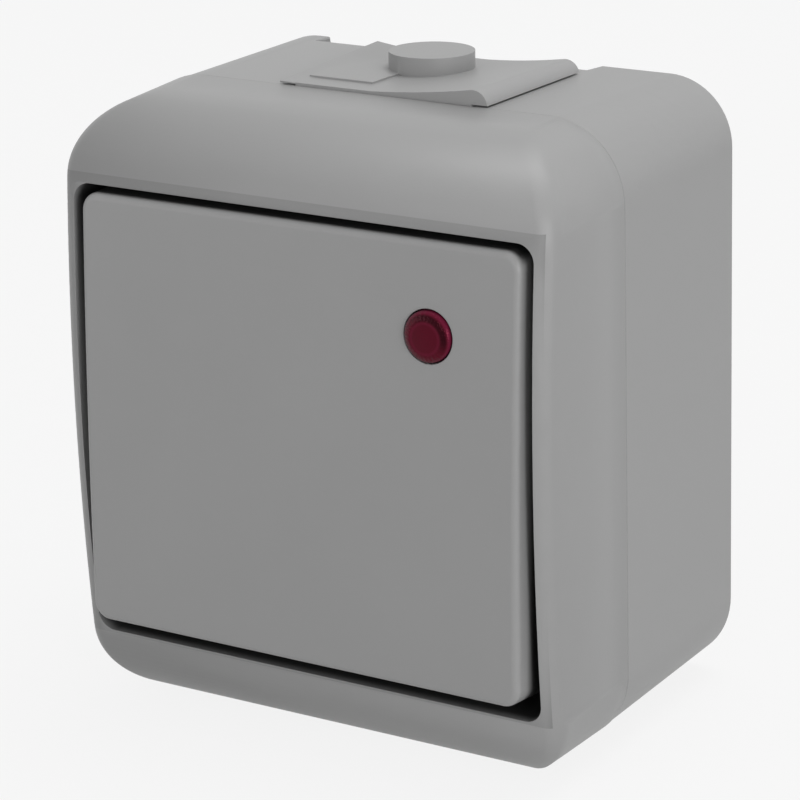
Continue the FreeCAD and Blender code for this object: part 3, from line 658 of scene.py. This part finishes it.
class Finishes:
    """All materials of the switch, by the record's slot."""

    grey: Colour = (0.262, 0.262, 0.262)

    def __init__(self, lens_centre: Place, lens_radius: float) -> None:
        """Makes every material once.

        Args:
            lens_centre: middle of the lens in metres.
            lens_radius: radius of the lens in metres.
        """
        low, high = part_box("rocker")
        margin = 2.2 * MM
        corners = ((low.x - margin, 0.0, low.z - margin), (high.x + margin, 0.0, high.z + margin))
        axis = key_axis()
        lean = -axis.z / axis.y
        front = low.y - low.z * lean
        # Painted shade in the hood's recess behind the key and on the key's skirt inside the gap,
        # darkest at the top under the hood's brow.
        recess_shade = ShadedWell(*corners, -44.5 * MM, -42.0 * MM)
        brow = (front + 0.5 * MM, front + 1.3 * MM)
        skirt_shade = ShadedWell(*corners, front + 1.6 * MM, front + 3.4 * MM, lean, brow)
        core, rim = (0.062, 0.003, 0.010), (0.11, 0.008, 0.026)
        recipes = {
            "case_plastic": MouldedPlastic("grey_case", self.grey, 0.46, Grain.SPARKED, recess_shade),
            "key_plastic": MouldedPlastic("grey_key", scaled(self.grey, 0.98), 0.42, Grain.SATIN, skirt_shade),
            "insert_plastic": MouldedPlastic("grey_insert", scaled(self.grey, 1.02), 0.5, Grain.SATIN),
            "lens_plastic": ClearLens("red_lens", core, rim, lens_centre, lens_radius),
            "seal_rubber": SealRubber("black_seal", (0.012, 0.012, 0.012)),
            "mechanism_plastic": MouldedPlastic("cream_tray", (0.64, 0.62, 0.54), 0.5, Grain.SMOOTH),
            "actuator_plastic": MouldedPlastic("white_actuator", (0.78, 0.78, 0.75), 0.34, Grain.SMOOTH),
            "terminal_brass": RolledMetal("brass_strip", (0.62, 0.42, 0.14), (0.34, 0.2, 0.07), 0.26),
            "contact_silver": RolledMetal("silver_contact", (0.72, 0.71, 0.68), (0.4, 0.38, 0.34), 0.2),
            "plated_steel": RolledMetal("plated_steel", (0.6, 0.6, 0.58), (0.42, 0.41, 0.36), 0.24),
            "lamp_glass": LampGlass("lamp_glass", (0.96, 0.95, 0.92)),
            "resistor_ceramic": LacqueredCeramic("lacquered_ceramic", (0.36, 0.24, 0.13)),
        }
        self.materials = {slot: recipe.make() for slot, recipe in recipes.items()}

    def put_on(self, piece: bpy.types.Object, slot: str) -> None:
        """Gives a piece the material of a slot in place of its own.

        Args:
            piece: the piece or node.
            slot: the record's slot.
        """
        piece.data.materials.clear()
        piece.data.materials.append(self.materials[slot])


# Meshes


def link(name: str, mesh: bpy.types.Mesh) -> bpy.types.Object:
    """Puts a mesh in the scene.

    Args:
        name: name of the piece.
        mesh: its mesh, in the shared frame.

    Returns:
        The new object, at the origin.
    """
    mesh.name = name
    piece = bpy.data.objects.new(name, mesh)
    bpy.context.scene.collection.objects.link(piece)
    return piece


def plain_mesh(piece: bpy.types.Object) -> bpy.types.Object:
    """Applies a piece's modifiers.

    Args:
        piece: the piece.

    Returns:
        The same piece with a plain mesh.
    """
    graph = bpy.context.evaluated_depsgraph_get()
    mesh = bpy.data.meshes.new_from_object(piece.evaluated_get(graph), depsgraph=graph)
    piece.modifiers.clear()
    old = piece.data
    piece.data = mesh
    mesh.name = piece.name
    bpy.data.meshes.remove(old)
    return piece


Corner = tuple[int, Vector]


def corners_of(mesh: bpy.types.Mesh) -> list[Corner]:
    """The point and the normal of each corner of a mesh."""
    pairs = zip(mesh.loops, mesh.corner_normals)
    return [(loop.vertex_index, normal.vector.copy().freeze()) for loop, normal in pairs]


def faces_out(place: Vector, normal: Vector) -> bool:
    """Whether a normal doesn't point towards the middle line of the switch."""
    return place.x * normal.x + place.z * normal.z > -0.1 * MM


def blur_normals(mesh: bpy.types.Mesh, reach: float, limit: float) -> None:
    """Softens the shading where a flat face runs into a bend on the outside.

    Args:
        mesh: the mesh.
        reach: distance in metres over which normals are mixed.
        limit: largest angle in degrees between normals that are mixed.
    """
    corners = corners_of(mesh)
    kinds = [kind for kind in dict.fromkeys(corners) if faces_out(mesh.vertices[kind[0]].co, kind[1])]
    tree = KDTree(len(kinds))
    for number, (point, _) in enumerate(kinds):
        tree.insert(mesh.vertices[point].co, number)
    tree.balance()
    least = math.cos(math.radians(limit))
    mixed = {}
    for kind in kinds:
        point, normal = kind
        total = Vector()
        for _, number, gap in tree.find_range(mesh.vertices[point].co, reach):
            other = kinds[number][1]
            if other.dot(normal) > least:
                total += other * (1.0 - gap / reach)
        mixed[kind] = total.normalized()
    mesh.normals_split_custom_set([mixed.get(corner, corner[1]) for corner in corners])


def merged_form(node: str, weld: float = 0.002 * MM) -> bmesh.types.BMesh:
    """A merged copy of a node's mesh.

    Args:
        node: name of the node.
        weld: distance in metres within which points become one.

    Returns:
        The copy, to be freed by the caller.
    """
    form = bmesh.new()
    form.from_mesh(frame["nodes"][node].data)
    bmesh.ops.remove_doubles(form, verts=form.verts, dist=weld)
    return form


def solids_of(node: str) -> list[list[Vector]]:
    """The points of each separate solid of a node.

    Args:
        node: name of the node.

    Returns:
        One list of points for each solid.
    """
    form = merged_form(node)
    left = set(form.verts)
    solids = []
    while left:
        front = [left.pop()]
        points = []
        while front:
            point = front.pop()
            points.append(point.co.copy())
            for edge in point.link_edges:
                other = edge.other_vert(point)
                if other in left:
                    left.remove(other)
                    front.append(other)
        solids.append(points)
    form.free()
    return sorted(solids, key=lambda points: min(point.x for point in points))


def key_axis() -> Vector:
    """Direction that the key faces at rest, which is the way its plunger slides."""
    joints = frame["record"]["behaviour"]["joints"]
    return Vector(next(joint["axis"] for joint in joints if joint["type"] == "slide")).normalized()


def seat(piece: bpy.types.Object, body: Body, node: str) -> None:
    """Sets a piece on its body in place of a node.

    Args:
        piece: the piece.
        body: the body that it rides on.
        node: the node that it replaces.
    """
    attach(piece, body.value)
    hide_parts(node)
    log.info("%s: %d faces", piece.name, len(piece.data.polygons))


@dataclass
class SoftenedPart:
    """A rigid piece with the shape of its node, whose sharp edges get a small radius."""

    name: str
    node: str
    body: Body
    slot: str
    edge_radius: float = 0.2 * MM
    edge_angle: float = 32.0
    flat_angle: float = 0.05
    edge_steps: int = 2
    shade_reach: float = 0.0
    shade_angle: float = 60.0

    def build(self, finishes: Finishes) -> None:
        """Builds the piece from a merged copy of the node and dresses it.

        Args:
            finishes: the materials.
        """
        form = merged_form(self.node)
        bmesh.ops.dissolve_degenerate(form, edges=form.edges, dist=0.002 * MM)
        flat = math.radians(self.flat_angle)
        bmesh.ops.dissolve_limit(form, angle_limit=flat, verts=form.verts, edges=form.edges)
        for face in form.faces:
            face.smooth = True
        for edge in form.edges:
            edge.smooth = edge.calc_face_angle(0.0) < math.radians(self.edge_angle)
        mesh = bpy.data.meshes.new(self.name)
        form.to_mesh(mesh)
        form.free()
        piece = link(self.name, mesh)
        bevel = piece.modifiers.new("edge_radius", "BEVEL")
        bevel.width = self.edge_radius
        bevel.segments = self.edge_steps
        bevel.limit_method = "ANGLE"
        bevel.angle_limit = math.radians(self.edge_angle)
        bevel.miter_outer = "MITER_ARC"
        weighted = piece.modifiers.new("weighted_normals", "WEIGHTED_NORMAL")
        weighted.keep_sharp = True
        plain_mesh(piece)
        if self.shade_reach:
            blur_normals(piece.data, self.shade_reach, self.shade_angle)
        finishes.put_on(piece, self.slot)
        seat(piece, self.body, self.node)


@dataclass
class SlottedScrews:
    """Identical slotted screws with a rolled thread, one for each solid of a node."""

    name: str
    node: str
    slot: str = "plated_steel"
    shank_radius: float = 1.4 * MM
    head_height: float = 1.8 * MM
    head_chamfer: float = 0.25 * MM
    drive_width: float = 0.8 * MM
    drive_depth: float = 0.9 * MM
    pitch: float = 1.0 * MM
    thread_depth: float = 0.3 * MM
    columns: int = 24
    rows_per_turn: int = 6

    def build(self, finishes: Finishes) -> None:
        """Rolls one screw up from a sheet and puts it on the head of each solid.

        Args:
            finishes: the materials.
        """
        solids = solids_of(self.node)
        heads = []
        for points in solids:
            low, high = (Vector(map(pick, zip(*points))) for pick in (min, max))
            heads.append(((low.x + high.x) / 2, low.y, (low.z + high.z) / 2))
        reach = high - low
        form = FormSheet(self.name)
        head = form.named("Head radius", reach.x / 2)
        height = form.named("Head height", self.head_height)
        chamfer = form.named("Chamfer", self.head_chamfer)
        shank = form.named("Shank radius", self.shank_radius)
        length = form.named("Length", reach.y)
        pitch = form.named("Pitch", self.pitch)
        depth = form.named("Thread depth", self.thread_depth)
        rows = 10 + self.rows_per_turn * math.ceil((reach.y - self.head_height) / self.pitch)
        last = rows - 1
        sheet, row, turn = form.sheet_to_roll(rows, self.columns)
        along = (
            row.ramped(2, 3, chamfer, False)
            + row.ramped(3, 4, height - 2.0 * chamfer, False)
            + row.ramped(4, 5, chamfer, False)
            + row.ramped(6, last, length - height, False)
        )
        wave = ((along / pitch + turn).part() - 0.5).size() * 2.0
        threaded = row.ramped(7, 8, 1.0, False) - row.ramped(last - 4, last - 2, 1.0, False)
        radius = (
            row.ramped(0, 2, head - chamfer, False)
            + row.ramped(2, 3, chamfer, False)
            - row.ramped(4, 5, chamfer, False)
            - row.ramped(5, 6, head - chamfer - shank, False)
            - row.ramped(last - 3, last, shank, False)
            - wave * threaded * depth
        )
        screw = form.rolled(sheet, turn, radius, along)
        width = form.named("Drive width", self.drive_width)
        bite = form.named("Drive depth", self.drive_depth)
        cutter = form.vector(head * 3.0, bite * 2.0, width)
        blade = form.add("GeometryNodeMeshCube", {}, {"Size": cutter})
        solver = {"operation": "DIFFERENCE", "solver": "EXACT"}
        cut = form.add("GeometryNodeMeshBoolean", solver, {"Mesh 1": screw, "Mesh 2": blade})
        inputs = {"Points": form.entry.outputs["Geometry"], "Instance": form.shaded(cut)}
        placed = form.add("GeometryNodeInstanceOnPoints", {}, inputs)
        piece = form.made(self.name, placed, finishes.materials[self.slot], heads)
        seat(piece, Body.CASE, self.node)


@dataclass
class CoilSpring:
    """Wire wound round the axis of the plunger, with closer turns at both ends."""

    name: str
    node: str
    joint: str
    slot: str = "plated_steel"
    wire: float = 0.45 * MM
    turns: float = 6.0
    closing: float = 0.55
    steps: int = 32
    flats: int = 10

    def build(self, finishes: Finishes) -> None:
        """Winds the spring in the place of its node and sets it on the key.

        Args:
            finishes: the materials.
        """
        axis = key_axis()
        points = solids_of(self.node)[0]
        middle = sum(points, Vector()) / len(points)
        levels = [(point - middle).dot(axis) for point in points]
        length = max(levels) - min(levels)
        outer = max((point - middle).cross(axis).length for point in points)
        form = FormSheet(self.name)
        wire = form.named("Wire radius", self.wire / 2)
        coil = form.named("Coil radius", outer - self.wire / 2)
        turns = form.named("Turns", self.turns)
        height = form.named("Height", length - self.wire)
        closing = form.named("Closing", self.closing)
        inputs = {"Resolution": self.steps, "Rotations": turns, "Start Radius": coil, "End Radius": coil}
        spiral = form.add("GeometryNodeCurveSpiral", {}, {**inputs, "Height": height})
        x, y, z = form.split(form.add("GeometryNodeInputPosition"))
        share = z / height
        lift = height * (share - (share * math.tau).sine() * closing / math.tau)
        wound = form.add("GeometryNodeSetPosition", {}, {0: spiral, "Position": form.vector(x, y, lift)})
        section = {"Resolution": self.flats, "Radius": wire}
        ring = form.add("GeometryNodeCurvePrimitiveCircle", {}, section)
        sweep = {"Curve": wound, "Profile Curve": ring, "Fill Caps": True}
        tube = form.add("GeometryNodeCurveToMesh", {}, sweep)
        piece = form.made(self.name, form.shaded(tube, 60.0), finishes.materials[self.slot], [])
        start = middle + axis * (min(levels) + self.wire / 2)
        turn = axis.to_track_quat("Z", "X").to_matrix().to_4x4()
        piece.data.transform(Matrix.Translation(start) @ turn)
        seat(piece, Body.KEY, self.node)
        joints = frame["record"]["behaviour"]["joints"]
        travel = next(joint["range_m"][1] for joint in joints if joint["name"] == self.joint)
        fixed = middle + axis * max(levels)
        1.0 - travel / length
        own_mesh(piece)


@dataclass
class PilotLens:
    """Button lens: flat top, fluted round shoulder, stem, flange and light guide."""

    name: str = "pilot_lens"
    node: str = "indicator_lens"
    slot: str = "lens_plastic"
    stem_radius: float = 2.98 * MM
    dome: float = 0.8 * MM
    top_share: float = 0.6
    top_rise: float = 0.1 * MM
    flange_depth: float = 2.5 * MM
    flange_height: float = 1.15 * MM
    guide_radius: float = 2.5 * MM
    flutes: int = 28
    flute_depth: float = 0.035 * MM
    columns: int = 112

    def build(self, finishes: Finishes) -> None:
        """Rolls the lens up from a sheet and sets it square on the tilted key.

        Args:
            finishes: the materials.
        """
        axis = key_axis()
        points = solids_of(self.node)[0]
        up = axis.cross(Vector((1.0, 0.0, 0.0)))
        sides = [point.x for point in points]
        levels = [point.dot(up) for point in points]
        depths = [point.dot(axis) for point in points]
        across = (max(sides) - min(sides)) / 2
        form = FormSheet(self.name)
        stem = form.named("Stem radius", self.stem_radius)
        top = form.named("Top radius", self.stem_radius * self.top_share)
        dome = form.named("Dome", self.dome)
        rise = form.named("Top rise", self.top_rise)
        flange = form.named("Flange radius", across)
        under = form.named("Flange depth", self.flange_depth)
        thick = form.named("Flange height", self.flange_height)
        guide = form.named("Guide radius", self.guide_radius)
        length = form.named("Length", max(depths) - min(depths))
        flute = form.named("Flute depth", self.flute_depth)
        sheet, row, turn = form.sheet_to_roll(28, self.columns)
        bend = row.ramped(6, 18, math.pi / 2, False)
        radius = (
            row.ramped(0, 6, top, False)
            + (stem - top) * bend.sine()
            + row.ramped(19, 20, flange - stem, False)
            - row.ramped(21, 22, flange - guide, False)
            - row.ramped(23, 27, guide, False)
        )
        flat = row.ramped(0, 6, 1.0, False)
        shoulder = row.ramped(6, 10) - row.ramped(15, 18)
        wave = (turn * (math.pi * self.flutes)).sine().size()
        along = (
            flat * flat * rise
            + (dome - rise) * (1.0 - bend.cosine())
            + row.ramped(18, 19, under - dome, False)
            + row.ramped(20, 21, thick, False)
            + row.ramped(22, 23, length - under - thick, False)
            + wave * shoulder * flute
        )
        lens = form.shaded(form.rolled(sheet, turn, radius, along), 50.0)
        piece = form.made(self.name, lens, finishes.materials[self.slot], [])
        x = (max(sides) + min(sides)) / 2
        crown = Vector((x, 0.0, 0.0)) + up * (max(levels) + min(levels)) / 2 + axis * max(depths)
        turned = Matrix((Vector((1.0, 0.0, 0.0)), -axis, up)).transposed().to_4x4()
        piece.data.transform(Matrix.Translation(crown) @ turned)
        seat(piece, Body.KEY, self.node)


# Sub-assemblies


def dress_nodes(nodes: tuple[tuple[str, str], ...], finishes: Finishes) -> None:
    """Gives nodes that stay as they are their finish.

    Args:
        nodes: names of nodes with their slots.
        finishes: the materials.
    """
    for name, slot in nodes:
        finishes.put_on(frame["nodes"][name], slot)
        log.info("%s keeps its shape", name)


@dataclass
class Case:
    """Rear box, hood, seal and the two screws that hold the hood."""

    edge_radius: float = 0.25 * MM
    hood_shading: float = 2.4 * MM
    plain: tuple[tuple[str, str], ...] = (("cover_gasket", "seal_rubber"),)

    def build(self, finishes: Finishes) -> None:
        """Builds and dresses the case.

        Args:
            finishes: the materials.
        """
        grey = (Body.CASE, "case_plastic", self.edge_radius)
        SoftenedPart("hood", "front_cover", *grey, shade_reach=self.hood_shading).build(finishes)
        SoftenedPart("wall_box", "rear_box", *grey).build(finishes)
        SlottedScrews("hood_screws", "cover_screws").build(finishes)
        dress_nodes(self.plain, finishes)


@dataclass
class CableInsert:
    """Saddle insert with its blind stub on the roof."""

    edge_radius: float = 0.15 * MM

    def build(self, finishes: Finishes) -> None:
        """Builds and dresses the insert."""
        piece = ("saddle_insert", "cable_entry_insert", Body.CASE, "insert_plastic")
        SoftenedPart(*piece, self.edge_radius).build(finishes)


@dataclass
class RockerKey:
    """Tilting key with its lens, and the carrier, spring and plunger behind it."""

    cap_edge: float = 0.15 * MM
    inner_edge: float = 0.1 * MM

    def build(self, finishes: Finishes) -> None:
        """Builds and dresses the key and what moves with it.

        Args:
            finishes: the materials.
        """
        white = "actuator_plastic"
        SoftenedPart("key_cap", "rocker", Body.KEY, "key_plastic", self.cap_edge).build(finishes)
        SoftenedPart("carrier", "actuator_cradle", Body.KEY, white, self.inner_edge).build(finishes)
        SoftenedPart("plunger", "actuator_plunger", Body.PLUNGER, white, self.inner_edge).build(finishes)
        PilotLens().build(finishes)
        CoilSpring("plunger_spring", "actuator_spring", "plunger_slide").build(finishes)


@dataclass
class Mechanism:
    """Tray, lid, contacts, clamps and the pilot lamp."""

    edge_radius: float = 0.12 * MM
    plain: tuple[tuple[str, str], ...] = (
        ("mechanism_gasket", "seal_rubber"),
        ("contact_rocker", "terminal_brass"),
        ("moving_contact", "contact_silver"),
        ("common_terminal", "terminal_brass"),
        ("switched_terminal", "terminal_brass"),
        ("fixed_contact", "contact_silver"),
        ("terminal_clamps", "plated_steel"),
        ("lamp_holder", "mechanism_plastic"),
        ("lamp_bulb", "lamp_glass"),
        ("lamp_legs", "plated_steel"),
        ("lamp_resistor", "resistor_ceramic"),
    )

    def build(self, finishes: Finishes) -> None:
        """Builds and dresses the mechanism.

        Args:
            finishes: the materials.
        """
        for name, node in (("tray", "mechanism_base"), ("lid", "mechanism_cover")):
            SoftenedPart(name, node, Body.CASE, "mechanism_plastic", self.edge_radius).build(finishes)
        SlottedScrews("tray_screws", "mechanism_screws").build(finishes)
        SlottedScrews("clamp_screws", "terminal_screws", head_height=1.6 * MM).build(finishes)
        dress_nodes(self.plain, finishes)


# Studio


@dataclass
class SoftBox:
    """A rectangular studio light that points at the switch."""

    name: str
    place: Place
    size: tuple[float, float]
    power: float

    def build(self, target: Vector) -> None:
        """Hangs the light.

        Args:
            target: the point that it shines on.
        """
        lamp = bpy.data.lights.new(self.name, "AREA")
        lamp.shape = "RECTANGLE"
        lamp.size, lamp.size_y = self.size
        lamp.energy = self.power
        holder = bpy.data.objects.new(self.name, lamp)
        holder.location = self.place
        holder.rotation_euler = (target - Vector(self.place)).to_track_quat("-Z", "Y").to_euler()
        bpy.context.scene.collection.objects.link(holder)


@dataclass
class Studio:
    """White floor and surround, soft lights and the camera."""

    target: Place = (0.0, -22.0 * MM, -0.73 * MM)
    yaw: float = 32.39
    pitch: float = 18.44
    roll: float = -1.67
    distance: float = 405.47 * MM
    lens: float = 151.93
    sensor: float = 36.0
    clip: tuple[float, float] = (0.01, 50.0)
    shift: tuple[float, float] = (-0.0049, -0.0017)
    horizon: float = 0.88
    zenith: float = 0.42
    floor_size: float = 8.0
    floor_white: float = 0.86
    paper: tuple[Colour, Colour] = ((0.45, 0.45, 0.45), (0.49, 0.49, 0.49))
    lights: list[SoftBox] = field(
        default_factory=lambda: [
            SoftBox("top_box", (0.1, 0.15, 0.7), (0.4, 0.4), 2.6),
            SoftBox("right_box", (0.75, -0.42, 0.12), (0.3, 0.3), 3.1),
            SoftBox("left_box", (-0.55, -0.65, 0.12), (0.3, 0.3), 0.5),
            SoftBox("front_spot", (0.09, -0.62, 0.2), (0.04, 0.04), 0.2),
        ]
    )

    def build(self) -> None:
        """Sets up the whole studio."""
        bpy.context.scene.view_settings.view_transform = "Standard"
        self.make_world()
        self.make_floor()
        for light in self.lights:
            light.build(Vector(self.target))
        self.make_camera()

    def seen(self, sheet: NodeSheet) -> Term:
        """Picks the rays that show the background in the picture.

        Args:
            sheet: the sheet of the material or world.

        Returns:
            A share that is 1 for those rays.
        """
        path = sheet.add("ShaderNodeLightPath").outputs
        camera, glossy = Term(sheet, path["Is Camera Ray"]), Term(sheet, path["Is Glossy Ray"])
        return camera.larger(glossy).larger(Term(sheet, path["Is Transmission Ray"]))

    def make_world(self) -> None:
        """Makes the surround white to look at and plain as a light."""
        world = bpy.data.worlds.new("surround")
        bpy.context.scene.world = world
        world.use_nodes = True
        sheet = NodeSheet(world.node_tree)
        _, _, height = sheet.split(sheet.add("ShaderNodeTexCoord").outputs["Generated"])
        plain = self.horizon - height.ramped(0.0, 1.0, self.horizon - self.zenith, False)
        strength = plain + self.seen(sheet) * (1.0 - plain)
        inputs = {"Color": (1.0, 1.0, 1.0, 1.0), "Strength": strength}
        light = sheet.add("ShaderNodeBackground", {}, inputs)
        sheet.add("ShaderNodeOutputWorld", {}, {"Surface": light})

    def make_floor(self) -> None:
        """Lays the floor under the lowest point of the switch."""
        half = self.floor_size / 2
        level = CAD_BOX[0][2]
        mesh = bpy.data.meshes.new("floor")
        turns = ((-half, -half), (half, -half), (half, half), (-half, half))
        corners = [(x, y, level) for x, y in turns]
        mesh.from_pydata(corners, [], [(0, 1, 2, 3)])
        floor = link("floor", mesh)
        sheet = ShaderSheet("floor_paper")
        sheet.set(Base_Color=sheet.blend(sheet.noise(3.0 * MM, 3.0), *self.paper), Roughness=0.9)
        glow = sheet.add("ShaderNodeEmission", {}, {"Color": (1.0, 1.0, 1.0, 1.0), "Strength": 1.0})
        inputs = {0: self.seen(sheet) * self.floor_white, 1: sheet.surface, 2: glow}
        sheet.feed(sheet.output, "Surface", sheet.add("ShaderNodeMixShader", {}, inputs))
        mesh.materials.append(sheet.material)

    def make_camera(self) -> None:
        """Places the camera at the angle of the photograph."""
        yaw, pitch = math.radians(self.yaw), math.radians(self.pitch)
        flat = math.cos(pitch)
        back = Vector((math.sin(yaw) * flat, -math.cos(yaw) * flat, math.sin(pitch)))
        right = Vector((math.cos(yaw), math.sin(yaw), 0.0))
        turn = Matrix((right, back.cross(right), back)).transposed()
        turn = turn @ Matrix.Rotation(math.radians(self.roll), 3, "Z")
        data = bpy.data.cameras.new("photo_camera")
        data.lens = self.lens
        data.sensor_width = self.sensor
        data.shift_x, data.shift_y = self.shift
        data.clip_start, data.clip_end = self.clip
        camera = bpy.data.objects.new("photo_camera", data)
        place = Vector(self.target) + self.distance * back
        camera.matrix_world = Matrix.Translation(place) @ turn.to_4x4()
        bpy.context.scene.collection.objects.link(camera)
        bpy.context.scene.camera = camera


def main() -> None:
    """Builds the switch and its studio."""
    logging.basicConfig(level=logging.INFO, format="%(name)s: %(message)s")
    low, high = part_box("indicator_lens")
    finishes = Finishes(tuple((low + high) / 2), PilotLens.stem_radius)
    for assembly in (Case(), CableInsert(), RockerKey(), Mechanism()):
        assembly.build(finishes)
    Studio().build()


if __name__ == "__main__":
    main()
